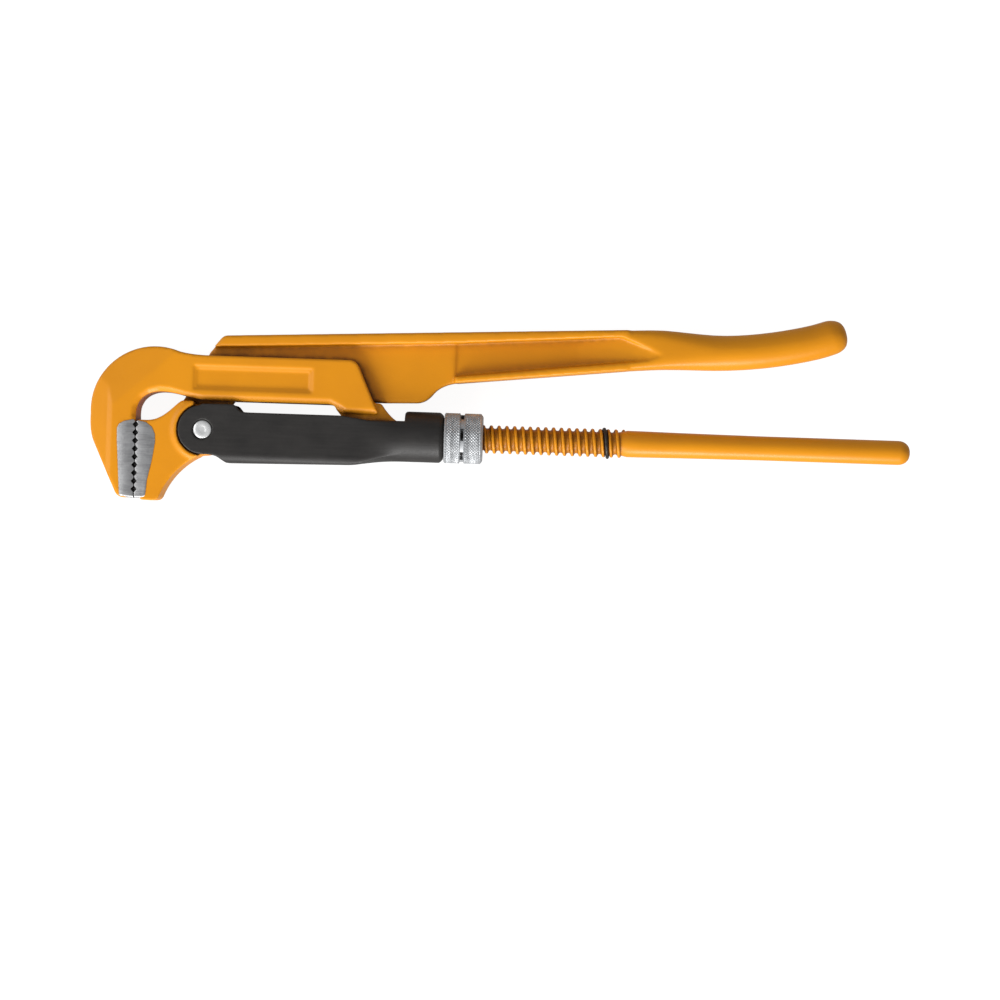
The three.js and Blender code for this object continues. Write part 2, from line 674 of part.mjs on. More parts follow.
class Winding extends THREE.Curve {
  constructor(x, radius, pitch, fromTurn, turns) {
    super();
    Object.assign(this, { x, radius, pitch, fromTurn, turns });
  }
  getPoint(t, target = new THREE.Vector3()) {
    const turn = this.fromTurn + t * this.turns;
    const angle = turn * 2 * Math.PI;
    return target.set(
      this.x + turn * this.pitch,
      this.radius * Math.cos(angle),
      this.radius * Math.sin(angle),
    );
  }
}

function woundWire(curve, diameter, steps) {
  const section = new THREE.Shape();
  section.absarc(0, 0, diameter / 2, 0, 2 * Math.PI);
  const options = { steps, extrudePath: curve, curveSegments: 4, bevelEnabled: false };
  return solid(new THREE.ExtrudeGeometry(section, options));
}

// An open ring in the grooves of the spigot and the nut.
const retainingRing = () =>
  woundWire(new Winding(ringAt, spigotRadius + RUNNING_GAP / 2, 0, 0.55, 0.9), RING_WIRE, 32);

// One open turn of wire in the last full turn of the spindle's groove.
function stopRing() {
  const radius = threadRoot + RUNNING_GAP + STOP_RING_WIRE / 2;
  const groove = threadStart + THREAD_PITCH / 2;
  const turn = Math.round((threadEnd - 10 - groove) / THREAD_PITCH);
  return woundWire(new Winding(groove, radius, THREAD_PITCH, turn - 0.2, 0.92), STOP_RING_WIRE, 32);
}

const wrench = new THREE.Group();
wrench.add(
  part("hook_arm", hookArm(), paint),
  part("lever", lever(), paint),
  part("link", link(), blackened),
  part("pivot_rivet", rivet(), steel),
  part("adjusting_nut", nut(), zinc),
  part("nut_retaining_ring", retainingRing(), wire),
  part("thread_stop_ring", stopRing(), wire),
);
const extent = new THREE.Box3().setFromObject(wrench);
const centre = extent.getCenter(new THREE.Vector3());
wrench.position.set(-centre.x, -centre.y, -extent.min.z);

const group = new THREE.Group();
group.add(wrench);
export default group;
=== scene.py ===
# %% [markdown]
# # The looks of a 90 degree pipe wrench
# The wrench is a hook arm, a lever, a pressed link, a rivet, a knurled nut and two wire rings. Their sizes and
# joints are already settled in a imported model. This lesson gives each of them the surface of the real tool:
# forgings with soft edges under thick paint, jaws ground bare, blackened sheet, knurled plating and drawn wire.

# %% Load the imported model
import json
import math
import bpy
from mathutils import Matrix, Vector


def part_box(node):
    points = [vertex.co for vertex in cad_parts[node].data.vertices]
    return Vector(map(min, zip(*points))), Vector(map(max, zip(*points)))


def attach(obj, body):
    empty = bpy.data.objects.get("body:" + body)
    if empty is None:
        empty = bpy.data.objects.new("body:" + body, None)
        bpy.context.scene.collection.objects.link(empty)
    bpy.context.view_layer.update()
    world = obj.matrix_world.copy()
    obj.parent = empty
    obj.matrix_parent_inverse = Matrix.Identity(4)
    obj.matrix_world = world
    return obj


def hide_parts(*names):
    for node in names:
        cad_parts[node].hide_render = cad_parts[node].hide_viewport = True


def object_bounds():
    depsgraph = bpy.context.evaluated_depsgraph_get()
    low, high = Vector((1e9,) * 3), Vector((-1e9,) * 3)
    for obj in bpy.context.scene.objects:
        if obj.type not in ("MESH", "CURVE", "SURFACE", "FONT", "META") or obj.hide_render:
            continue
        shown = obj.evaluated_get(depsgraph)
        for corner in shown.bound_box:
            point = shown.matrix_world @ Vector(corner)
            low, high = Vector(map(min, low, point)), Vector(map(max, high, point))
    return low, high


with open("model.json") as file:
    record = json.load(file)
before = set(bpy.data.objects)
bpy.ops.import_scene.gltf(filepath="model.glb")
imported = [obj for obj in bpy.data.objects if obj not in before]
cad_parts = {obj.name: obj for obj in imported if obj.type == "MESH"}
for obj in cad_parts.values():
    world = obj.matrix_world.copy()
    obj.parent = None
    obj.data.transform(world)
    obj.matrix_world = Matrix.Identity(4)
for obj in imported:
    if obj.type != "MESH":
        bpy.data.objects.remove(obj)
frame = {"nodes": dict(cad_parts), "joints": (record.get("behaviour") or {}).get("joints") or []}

cad_low, cad_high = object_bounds()
print("the wrench measures", [round(1000 * (b - a), 1) for a, b in zip(cad_low, cad_high)], "mm")

# %% [markdown]
# ## A ruler that starts at the teeth
# On this tool everything lines up with two things: the axis of the screw spindle, and the line where the closed
# teeth meet. Points could be given in the model's own frame, whose zero lies somewhere under the handle, but a
# point such as "12 mm behind the teeth" is easier to read. The axis is taken from the nut's joint, and the tooth
# line from the lever's box, because the lever's left side is its row of tooth crests.

# %% Ruler
MM = 0.001
joints = {joint["name"]: joint for joint in frame["joints"]}
axis_point = Vector(joints["nut_turn"]["pos_m"])
pivot_point = Vector(joints["lever_swing"]["pos_m"])
JAW_GAP = 0.4
tooth_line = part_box("lever")[0].x - JAW_GAP / 2 * MM


def at(x, y, z=0.0):
    """A point given in mm from the tooth line, the spindle's axis and the middle of the thickness."""
    return Vector((tooth_line + x * MM, axis_point.y + y * MM, axis_point.z + z * MM))


# %% [markdown]
# ## Helpers for modelling by hand
# Every piece below is made with the same few moves as in Blender's window: add a primitive, go to edit mode,
# select faces by where they are, extrude or bevel, and apply modifiers. The helpers keep those moves short.

# %% Selecting and editing


def clean():
    """Back to object mode with nothing selected."""
    if bpy.context.object and bpy.context.object.mode != "OBJECT":
        bpy.ops.object.mode_set(mode="OBJECT")
    bpy.ops.object.select_all(action="DESELECT")


def activate(obj):
    clean()
    obj.select_set(True)
    bpy.context.view_layer.objects.active = obj
    return obj


def edit(obj, mode="FACE"):
    """Edit mode with nothing selected."""
    activate(obj)
    bpy.ops.object.mode_set(mode="EDIT")
    bpy.ops.mesh.select_mode(type=mode)
    bpy.ops.mesh.select_all(action="DESELECT")


def pick(obj, test):
    """Selects the faces, edges or vertices whose middle passes the test, and stays in edit mode."""
    mode = bpy.context.tool_settings.mesh_select_mode
    bpy.ops.object.mode_set(mode="OBJECT")
    mesh = obj.data
    if mode[0]:
        for v in mesh.vertices:
            v.select = test(v.co, v.normal)
    elif mode[1]:
        for e in mesh.edges:
            a, b = (mesh.vertices[i].co for i in e.vertices)
            e.select = test((a + b) / 2, b - a)
    else:
        for f in mesh.polygons:
            f.select = test(f.center, f.normal)
    bpy.ops.object.mode_set(mode="EDIT")


def modifier(obj, kind, **settings):
    """Adds a modifier, sets it and applies it."""
    activate(obj)
    made = obj.modifiers.new(kind.lower(), kind)
    for key, value in settings.items():
        setattr(made, key, value)
    bpy.ops.object.modifier_apply(modifier=made.name)
    return obj


def settle(obj, name=None):
    """Applies place, turn and scale, so that the object sits at the origin with its place in its mesh."""
    activate(obj)
    bpy.ops.object.transform_apply(location=True, rotation=True, scale=True)
    if name:
        obj.name = name
        obj.data.name = name
    return obj


def outward(obj):
    """Merges doubles and turns every face outwards."""
    edit(obj, "VERT")
    bpy.ops.mesh.select_all(action="SELECT")
    bpy.ops.mesh.remove_doubles(threshold=2e-6)
    bpy.ops.mesh.normals_make_consistent(inside=False)
    clean()
    return obj


def copy_of(node, name):
    """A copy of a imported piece, with its loose triangles merged."""
    obj = frame["nodes"][node].copy()
    obj.data = frame["nodes"][node].data.copy()
    for key in list(obj.keys()):
        del obj[key]
    obj.parent = None
    obj.name = name
    obj.data.name = name
    obj.data.materials.clear()
    bpy.context.scene.collection.objects.link(obj)
    edit(obj, "VERT")
    bpy.ops.mesh.select_all(action="SELECT")
    bpy.ops.mesh.remove_doubles(threshold=2e-6)
    clean()
    return obj


def slab(name, outline, z_low, z_high):
    """A flat plate: a ring with as many corners as the outline, each pulled to its place, filled and extruded."""
    clean()
    bpy.ops.mesh.primitive_circle_add(vertices=len(outline), fill_type="NGON")
    obj = bpy.context.object
    for vertex, (x, y) in zip(obj.data.vertices, outline):
        vertex.co = at(x, y, z_low)
    edit(obj, "FACE")
    bpy.ops.mesh.select_all(action="SELECT")
    bpy.ops.mesh.extrude_region_move(TRANSFORM_OT_translate={"value": (0, 0, (z_high - z_low) * MM)})
    clean()
    return outward(settle(obj, name))


def turned(name, profile, segments):
    """A profile of (x, radius) points spun about the spindle's axis."""
    clean()
    bpy.ops.mesh.primitive_circle_add(vertices=len(profile))
    obj = bpy.context.object
    for vertex, (x, radius) in zip(obj.data.vertices, profile):
        vertex.co = at(x, radius)
    edit(obj, "VERT")
    bpy.ops.mesh.select_all(action="SELECT")
    bpy.ops.mesh.spin(steps=segments, angle=2 * math.pi, center=at(0, 0), axis=(1, 0, 0))
    clean()
    return outward(settle(obj, name))


def join(pieces, name):
    activate(pieces[0])
    for piece in pieces[1:]:
        piece.select_set(True)
    bpy.ops.object.join()
    pieces[0].name = name
    pieces[0].data.name = name
    return pieces[0]


def cut(obj, cutter):
    """Cuts the cutter out of a piece and deletes it."""
    modifier(obj, "BOOLEAN", object=cutter, operation="DIFFERENCE", solver="EXACT")
    bpy.data.objects.remove(cutter)
    return obj


def smooth(obj, degrees):
    activate(obj)
    bpy.ops.object.shade_smooth_by_angle(angle=math.radians(degrees))
    clean()
    return obj


def forge(obj, voxel, passes, shape=None):
    """Rounds every edge as a forging die and thick paint do. Shape moves each point, given in mm, before that."""
    modifier(obj, "REMESH", mode="VOXEL", voxel_size=voxel * MM, adaptivity=0)
    if shape:
        surface = [((v.co - at(0, 0)) / MM, v.normal.copy()) for v in obj.data.vertices]
        moved = [c for p, normal in surface for c in at(*shape(p, normal))]
        obj.data.vertices.foreach_set("co", moved)
        obj.data.update()
    modifier(obj, "SMOOTH", factor=0.5, iterations=passes)
    activate(obj)
    bpy.ops.object.shade_smooth()
    clean()
    print(obj.name, len(obj.data.polygons), "faces")
    return obj


def finish(obj, material, body, slot, *nodes):
    """Gives a piece its material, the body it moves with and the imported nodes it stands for."""
    obj.data.materials.clear()
    obj.data.materials.append(material)
    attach(obj, body)
    if nodes:
        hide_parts(*nodes)
    return obj


# %% [markdown]
# ## Effects that several finishes share
# Four effects are wanted in more than one finish: a grain that changes the colour and the shine a little, worn
# edges, painted shade in corners, and a fine skin that only shows as bumps. Each could be drawn again in every
# material.
# As node groups they are built once, and every material gives them its own scale and strength.

# %% Node helpers


def group(name, inputs, outputs):
    tree = bpy.data.node_groups.new(name, "ShaderNodeTree")
    for label, kind, value in inputs:
        socket = tree.interface.new_socket(label, in_out="INPUT", socket_type="NodeSocket" + kind)
        if value is not None:
            socket.default_value = value
    for label, kind in outputs:
        tree.interface.new_socket(label, in_out="OUTPUT", socket_type="NodeSocket" + kind)
    return tree, tree.nodes.new("NodeGroupInput"), tree.nodes.new("NodeGroupOutput")


def node(tree, kind, settings=None, **inputs):
    made = tree.nodes.new("ShaderNode" + kind)
    for key, value in (settings or {}).items():
        setattr(made, key, value)
    for key, value in inputs.items():
        socket = made.inputs[int(key[1:])] if key[0] == "i" and key[1:].isdigit() else made.inputs[key]
        if isinstance(value, bpy.types.NodeSocket):
            tree.links.new(value, socket)
        else:
            socket.default_value = value
    return made


def maths(tree, operation, a, b=0.5, clamp=False):
    return node(tree, "Math", {"operation": operation, "use_clamp": clamp}, i0=a, i1=b).outputs[0]


def remap(tree, value, low, high, to_low=0.0, to_high=1.0):
    return node(tree, "MapRange", {"clamp": True}, i0=value, i1=low, i2=high, i3=to_low, i4=to_high).outputs[0]


def blend_colours(tree, factor, a, b):
    made = node(tree, "Mix", {"data_type": "RGBA", "blend_type": "MIX"})
    for socket, value in ((made.inputs[0], factor), (made.inputs[6], a), (made.inputs[7], b)):
        if isinstance(value, bpy.types.NodeSocket):
            tree.links.new(value, socket)
        else:
            socket.default_value = value
    return made.outputs[2]


# %% Grain: large soft clouds and small specks, from 0 to 1
tree, given, put = group(
    "grain",
    [("Cloud Scale", "Float", 60.0), ("Speck Scale", "Float", 900.0), ("Stretch", "Vector", (1.0, 1.0, 1.0))],
    [("Clouds", "Float"), ("Specks", "Float")],
)
where = node(tree, "TexCoord")
placed = node(tree, "VectorMath", {"operation": "MULTIPLY"}, i0=where.outputs["Object"], i1=given.outputs["Stretch"])
clouds = node(tree, "TexNoise", i0=placed.outputs[0], Scale=given.outputs["Cloud Scale"], Detail=4.0)
specks = node(tree, "TexNoise", i0=placed.outputs[0], Scale=given.outputs["Speck Scale"], Detail=3.0)
tree.links.new(remap(tree, clouds.outputs[0], 0.3, 0.7), put.inputs["Clouds"])
tree.links.new(remap(tree, specks.outputs[0], 0.3, 0.7), put.inputs["Specks"])
GRAIN = tree

# %% Worn edges: 1 on sharp outer edges, broken up by noise
tree, given, put = group(
    "edge_wear",
    [("Start", "Float", 0.53), ("Full", "Float", 0.6), ("Break Up", "Float", 0.5), ("Scale", "Float", 500.0)],
    [("Mask", "Float")],
)
shape = node(tree, "NewGeometry")
where = node(tree, "TexCoord")
chips = node(tree, "TexNoise", i0=where.outputs["Object"], Scale=given.outputs["Scale"], Detail=4.0)
edge = node(
    tree, "MapRange", {"clamp": True}, i0=shape.outputs["Pointiness"], i1=given.outputs["Start"],
    i2=given.outputs["Full"],
)
broken = maths(tree, "MULTIPLY", remap(tree, chips.outputs[0], 0.35, 0.65), given.outputs["Break Up"])
mask = maths(tree, "SUBTRACT", edge.outputs[0], broken, clamp=True)
tree.links.new(mask, put.inputs["Mask"])
EDGE_WEAR = tree

# %% Painted shade: 1 deep in corners and under neighbours, 0 in the open. It begins at Open and is full at Shut
tree, given, put = group(
    "painted_corner_shade",
    [("Reach", "Float", 0.004), ("Strength", "Float", 1.0), ("Open", "Float", 0.85), ("Shut", "Float", 0.35)],
    [("Mask", "Float")],
)
# Ambient occlusion: the materials darken their colour by this mask, so it is painted shade
hidden = node(tree, "AmbientOcclusion", {"samples": 8}, Distance=given.outputs["Reach"])
where = node(tree, "TexCoord")
patches = node(tree, "TexNoise", i0=where.outputs["Object"], Scale=240.0, Detail=3.0)
closed = node(
    tree, "MapRange", {"clamp": True}, i0=hidden.outputs["AO"], i1=given.outputs["Open"], i2=given.outputs["Shut"]
).outputs[0]
patchy = maths(tree, "MULTIPLY", closed, remap(tree, patches.outputs[0], 0.25, 0.6, 0.45, 1.0))
tree.links.new(maths(tree, "MULTIPLY", patchy, given.outputs["Strength"], clamp=True), put.inputs["Mask"])
PAINTED_CORNER_SHADE = tree

# %% Skin: the fine unevenness of paint, scale or plating, as a height
tree, given, put = group(
    "fine_skin",
    [("Scale", "Float", 700.0), ("Wave Scale", "Float", 120.0), ("Wave Share", "Float", 0.5)],
    [("Height", "Float")],
)
where = node(tree, "TexCoord")
small = node(tree, "TexNoise", i0=where.outputs["Object"], Scale=given.outputs["Scale"], Detail=2.0)
large = node(tree, "TexNoise", i0=where.outputs["Object"], Scale=given.outputs["Wave Scale"], Detail=2.0)
waves = maths(tree, "MULTIPLY", large.outputs[0], given.outputs["Wave Share"])
tree.links.new(maths(tree, "ADD", small.outputs[0], waves), put.inputs["Height"])
FINE_SKIN = tree
print("node groups:", [g.name for g in bpy.data.node_groups])


# %% A new material with its shader
def material(name, **plain):
    made = bpy.data.materials.new(name)
    made.use_nodes = True
    tree = made.node_tree
    shader = tree.nodes["Principled BSDF"]
    for key, value in plain.items():
        shader.inputs[key.replace("_", " ")].default_value = value
    return made, tree, shader


def use(tree, made_group, **values):
    placed = tree.nodes.new("ShaderNodeGroup")
    placed.node_tree = made_group
    for key, value in values.items():
        placed.inputs[key.replace("_", " ")].default_value = value
    return placed.outputs


def bump(tree, shader, height, strength, distance):
    made = node(tree, "Bump", None, Strength=strength, Distance=distance * MM, Height=height)
    tree.links.new(made.outputs[0], shader.inputs["Normal"])


# %% [markdown]
# ## Orange paint
# The forgings are dipped or sprayed in thick orange paint. It has a soft gloss, a faint orange peel, a richer
# colour where it pooled and a paler one where it was rubbed on the high edges. A plain glossy orange would look
# like plastic, so the colour is mixed from clouds, painted shade in the corners and edge wear, and a bump carries
# the peel.

# %% Orange paint
PAINT = (0.745, 0.278, 0.003, 1)
PAINT_DEEP = (0.50, 0.165, 0.004, 1)
PAINT_PALE = (0.92, 0.43, 0.045, 1)
paint, tree, shader = material("orange_paint", Specular_IOR_Level=0.28, Coat_Weight=0.05, Coat_Roughness=0.2)
grain = use(tree, GRAIN, Cloud_Scale=38.0, Speck_Scale=1500.0)
painted_shade = use(tree, PAINTED_CORNER_SHADE, Reach=0.0065, Strength=0.85)
fine_painted_shade = use(tree, PAINTED_CORNER_SHADE, Reach=0.0032, Strength=1.0, Open=0.9, Shut=0.55)
wear = use(tree, EDGE_WEAR, Start=0.52, Full=0.62, Break_Up=0.45, Scale=420.0)
pooled = maths(tree, "MULTIPLY", grain["Clouds"], 0.22)
colour = blend_colours(tree, pooled, PAINT, PAINT_DEEP)
# Painted shade: dark brown where ambient occlusion finds corners, recesses, gaps under neighbours and thread valleys
colour = blend_colours(tree, painted_shade["Mask"], colour, (0.17, 0.05, 0.003, 1))
colour = blend_colours(tree, fine_painted_shade["Mask"], colour, (0.11, 0.03, 0.002, 1))
colour = blend_colours(tree, maths(tree, "MULTIPLY", wear["Mask"], 0.75), colour, PAINT_PALE)
tree.links.new(colour, shader.inputs["Base Color"])
shine = maths(tree, "ADD", maths(tree, "MULTIPLY", grain["Specks"], 0.12), 0.34)
tree.links.new(maths(tree, "ADD", shine, maths(tree, "MULTIPLY", painted_shade["Mask"], 0.2)), shader.inputs["Roughness"])
skin = use(tree, FINE_SKIN, Scale=620.0, Wave_Scale=110.0, Wave_Share=1.6)
bump(tree, shader, skin["Height"], 0.28, 0.10)

# %% [markdown]
# ## Ground jaw steel
# The jaws' sides and teeth are ground and hardened after painting, so they are bare. Grinding leaves fine
# straight scratches across the pad and a mottled tarnish from the hardening. A noise squeezed along one direction
# makes the scratches, as a brushed-metal texture does, and a soft one makes the tarnish.

# %% Ground jaw steel
ground, tree, shader = material("ground_steel", Metallic=0.85)
scratch = use(tree, GRAIN, Cloud_Scale=45.0, Speck_Scale=420.0, Stretch=(0.35, 6.0, 6.0))
tarnish = use(tree, GRAIN, Cloud_Scale=170.0, Speck_Scale=1100.0)
painted_shade = use(tree, PAINTED_CORNER_SHADE, Reach=0.006, Strength=1.0)
wear = use(tree, EDGE_WEAR, Start=0.52, Full=0.6, Break_Up=0.3, Scale=700.0)
stained = maths(tree, "MULTIPLY", tarnish["Clouds"], 0.75)
colour = blend_colours(tree, stained, (0.40, 0.40, 0.405, 1), (0.24, 0.235, 0.24, 1))
colour = blend_colours(tree, maths(tree, "MULTIPLY", scratch["Specks"], 0.35), colour, (0.55, 0.55, 0.54, 1))
# Painted shade: near black where ambient occlusion finds corners and gaps
colour = blend_colours(tree, painted_shade["Mask"], colour, (0.035, 0.028, 0.022, 1))
colour = blend_colours(tree, maths(tree, "MULTIPLY", wear["Mask"], 0.7), colour, (0.72, 0.72, 0.71, 1))
tree.links.new(colour, shader.inputs["Base Color"])
shine = maths(tree, "ADD", maths(tree, "MULTIPLY", scratch["Specks"], 0.16), 0.36)
tree.links.new(shine, shader.inputs["Roughness"])
height = maths(tree, "ADD", scratch["Specks"], maths(tree, "MULTIPLY", tarnish["Specks"], 0.5))
bump(tree, shader, height, 0.25, 0.06)

# %% [markdown]
# ## Blackened link sheet
# The link is pressed from thick sheet and blackened, which leaves a satin black with a brown cast, scuffed grey
# on its edges and painted shade in its corners. The scuffs are edge wear again, with rougher break-up than on the
# paint.

# %% Blackened link sheet
black, tree, shader = material("blackened_sheet", Metallic=0.1, Specular_IOR_Level=0.42)
grain = use(tree, GRAIN, Cloud_Scale=70.0, Speck_Scale=1300.0)
scuffs = use(tree, GRAIN, Cloud_Scale=30.0, Speck_Scale=260.0, Stretch=(0.25, 3.0, 3.0))
wear = use(tree, EDGE_WEAR, Start=0.525, Full=0.62, Break_Up=0.6, Scale=600.0)
painted_shade = use(tree, PAINTED_CORNER_SHADE, Reach=0.005, Strength=0.5)
cloudy = maths(tree, "MULTIPLY", grain["Clouds"], 0.6)
colour = blend_colours(tree, cloudy, (0.013, 0.0115, 0.0105, 1), (0.027, 0.024, 0.022, 1))
colour = blend_colours(tree, maths(tree, "MULTIPLY", scuffs["Specks"], 0.09), colour, (0.08, 0.073, 0.068, 1))
colour = blend_colours(tree, maths(tree, "MULTIPLY", wear["Mask"], 0.6), colour, (0.22, 0.21, 0.20, 1))
# Painted shade: a little darker where ambient occlusion finds corners
colour = blend_colours(tree, painted_shade["Mask"], colour, (0.014, 0.012, 0.010, 1))
tree.links.new(colour, shader.inputs["Base Color"])
shine = maths(tree, "ADD", maths(tree, "MULTIPLY", grain["Specks"], 0.18), 0.40)
rubbed = maths(tree, "MULTIPLY", wear["Mask"], 0.12)
tree.links.new(maths(tree, "SUBTRACT", shine, rubbed), shader.inputs["Roughness"])
skin = use(tree, FINE_SKIN, Scale=1500.0, Wave_Scale=260.0, Wave_Share=0.8)
bump(tree, shader, skin["Height"], 0.3, 0.06)

# %% [markdown]
# ## Zinc plate, bright steel and wire
# The nut is plated, whitish and cloudy, with painted shade in its knurl. The rivet is bare steel peened bright. The
# rings are oiled dark wire, drawn, so it has fine lines along it. All three reuse the same groups.

# %% Zinc plate
zinc, tree, shader = material("zinc_plate", Metallic=0.55)
grain = use(tree, GRAIN, Cloud_Scale=210.0, Speck_Scale=2100.0)
painted_shade = use(tree, PAINTED_CORNER_SHADE, Reach=0.0016, Strength=0.75)
wear = use(tree, EDGE_WEAR, Start=0.52, Full=0.6, Break_Up=0.3, Scale=900.0)
colour = blend_colours(tree, grain["Clouds"], (0.53, 0.54, 0.55, 1), (0.36, 0.37, 0.38, 1))
# Painted shade: dark in the knurl's grooves and windows, where ambient occlusion finds them
colour = blend_colours(tree, painted_shade["Mask"], colour, (0.06, 0.055, 0.05, 1))
colour = blend_colours(tree, maths(tree, "MULTIPLY", wear["Mask"], 0.45), colour, (0.78, 0.78, 0.78, 1))
tree.links.new(colour, shader.inputs["Base Color"])
shine = maths(tree, "ADD", maths(tree, "MULTIPLY", grain["Clouds"], 0.14), 0.36)
tree.links.new(shine, shader.inputs["Roughness"])
bump(tree, shader, grain["Specks"], 0.18, 0.04)

# %% Bright peened steel
bright, tree, shader = material("bright_steel", Metallic=0.55)
grain = use(tree, GRAIN, Cloud_Scale=420.0, Speck_Scale=1900.0)
painted_shade = use(tree, PAINTED_CORNER_SHADE, Reach=0.002, Strength=0.8)
wear = use(tree, EDGE_WEAR, Start=0.52, Full=0.62, Break_Up=0.4, Scale=800.0)
colour = blend_colours(tree, grain["Clouds"], (0.86, 0.86, 0.85, 1), (0.66, 0.66, 0.65, 1))
# Painted shade: dark where ambient occlusion finds the rivet head's edge against the link
colour = blend_colours(tree, painted_shade["Mask"], colour, (0.05, 0.045, 0.04, 1))
colour = blend_colours(tree, maths(tree, "MULTIPLY", wear["Mask"], 0.6), colour, (0.86, 0.86, 0.85, 1))
tree.links.new(colour, shader.inputs["Base Color"])
tree.links.new(maths(tree, "ADD", maths(tree, "MULTIPLY", grain["Clouds"], 0.15), 0.24), shader.inputs["Roughness"])
bump(tree, shader, maths(tree, "ADD", grain["Clouds"], grain["Specks"]), 0.25, 0.06)

# %% Dark drawn wire
wire, tree, shader = material("drawn_wire", Metallic=0.6)
grain = use(tree, GRAIN, Cloud_Scale=300.0, Speck_Scale=2600.0)
wear = use(tree, EDGE_WEAR, Start=0.54, Full=0.68, Break_Up=0.7, Scale=700.0)
colour = blend_colours(tree, grain["Clouds"], (0.022, 0.019, 0.017, 1), (0.055, 0.048, 0.043, 1))
colour = blend_colours(tree, maths(tree, "MULTIPLY", wear["Mask"], 0.5), colour, (0.25, 0.24, 0.23, 1))
tree.links.new(colour, shader.inputs["Base Color"])
tree.links.new(maths(tree, "ADD", maths(tree, "MULTIPLY", grain["Specks"], 0.2), 0.34), shader.inputs["Roughness"])
bump(tree, shader, grain["Specks"], 0.2, 0.03)
print("materials:", [m.name for m in (paint, ground, black, zinc, bright, wire)])

# %% [markdown]
# ## The jaws' ground pads
# Each jaw ends in a pad with nine teeth. On the real tool it is the same forging, ground flat and left bare. A
# painted and an unpainted area could be one mesh with two materials, but the line between them has to stay crisp
# while the forging around it is rounded, and the teeth have to stay sharp. So the pad is its own plate with the
# teeth in its outline, standing a third of a millimetre proud, and the forging is cut away behind it.

# %% Tooth profile
TOOTH_COUNT = 9
TOOTH_PITCH = 4.12
TOOTH_DEPTH = 1.35
TOOTH_NOTCH = 3.1
FIRST_NOTCH_Y = 1.5
PAD_HALF = 11.8
PAD_CHAMFER = 0.9
PAD_EDGE = 0.28
PAD_CHAMFER_BELOW = -35.4


def teeth(direction):
    """The corners of one row, from the top down. Direction is -1 for the hook jaw and 1 for the lever jaw."""
    face = direction * JAW_GAP / 2
    row = []
    for i in range(TOOTH_COUNT):
        y = FIRST_NOTCH_Y - i * TOOTH_PITCH
        row += [(face, y + TOOTH_NOTCH / 2), (face + direction * TOOTH_DEPTH, y), (face, y - TOOTH_NOTCH / 2)]
    return row


# %% Pads
hook_pad_outline = [(-1.3, 4.1), (-6.1, 3.0), (-8.6, 1.4), (-9.5, -0.7), (-9.3, -6.8), (-7.4, -34.3), (-6.6, -35.6)]
hook_pad_outline += [(-0.2, -36.05)] + teeth(-1)[::-1]
lever_pad_outline = [*teeth(1), (0.2, -36.1), (5.2, -35.9), (5.9, -35.2), (6.6, -26.7), (8.8, -16.4)]
lever_pad_outline += [(10.1, -7.2), (9.9, -3.1), (8.3, 0.4), (5.1, 2.8), (1.2, 3.6)]
pads = []
for name, outline in (("hook_jaw_teeth", hook_pad_outline), ("lever_jaw_teeth", lever_pad_outline)):
    pad = slab(name, outline, -PAD_HALF, PAD_HALF)
    edit(pad, "EDGE")
    pick(pad, lambda middle, along: middle.y < at(0, PAD_CHAMFER_BELOW).y and abs(along.z) < 1e-6)
    bpy.ops.mesh.bevel(offset=PAD_CHAMFER * MM, segments=1)
    clean()
    modifier(pad, "BEVEL", width=PAD_EDGE * MM, segments=2, limit_method="ANGLE", angle_limit=math.radians(35))
    smooth(pad, 30)
    pads.append(pad)
    print(name, len(pad.data.polygons), "faces")
hook_pad, lever_pad = pads
finish(hook_pad, ground, "hook_arm", "bright_steel")
finish(lever_pad, ground, "lever", "bright_steel")

# %% [markdown]
# ## The hook arm's forging
# Hook jaw, slotted bar and neck are one drop forging. Its flat sides and sharp creases come from the packed
# model, but a real forging has no sharp edge anywhere. Bevelling each edge by hand is possible, yet the edges of
# the sunk panel, the slot and the hook meet at odd angles where a bevel breaks. A fine voxel remesh followed by a
# few smoothing passes rounds them all alike, just as paint and shot blasting do.

# %% The chamfer along the throat and the underside of the bar
HEAD_HALF = 11.5
BAR_BOTTOM = 15.1
BAR_END = 111.0
HEEL = BAR_BOTTOM - 4.4
CHAMFER = 2.4
CHAMFER_SLOPE = 0.85
CREASE_X = -12.5
CREASE_STEP = 0.75
BEHIND_CREASE_SLOPE = 0.155
throat = [(-0.2, 6.5), (0.3, 11.0), (2.5, 14.8), (6.2, 17.6), (11.0, 18.8), (16.0, 18.5), (24.0, 16.6)]
bar_foot = [(33.0, BAR_BOTTOM), (BAR_END - 13, BAR_BOTTOM), (BAR_END - 8.5, BAR_BOTTOM - 2.2)]
underside = throat + bar_foot + [(BAR_END - 5, HEEL), (BAR_END + 12.3, HEEL)]
edge_line = [(Vector(a), Vector(b) - Vector(a)) for a, b in zip(underside, underside[1:])]


def from_edge(x, y):
    """The distance from a point to the underside's line."""
    p = Vector((x, y))
    nearest = 1e9
    for start, along in edge_line:
        t = max(0.0, min(1.0, (p - start).dot(along) / along.length_squared))
        nearest = min(nearest, (p - start - along * t).length)
    return nearest


def hook_shape(p, normal):
    """Lowers the sides along the underside and behind the hook's crease."""
    depth = 0.0
    if abs(p.z) > HEAD_HALF - 3 and -3 < p.x < BAR_END + 14 and 4 < p.y < 24:
        depth = max(depth, CHAMFER_SLOPE * (CHAMFER - from_edge(p.x, p.y)))
    if p.x < CREASE_X and abs(p.z) > HEAD_HALF - 5:
        behind = CREASE_X - p.x
        depth = max(depth, min(0.5 * behind, CREASE_STEP + BEHIND_CREASE_SLOPE * behind))
    limit = HEAD_HALF - depth
    return p.x, p.y, max(-limit, min(limit, p.z))


print("underside edge is", round(sum(along.length for _, along in edge_line)), "mm long")

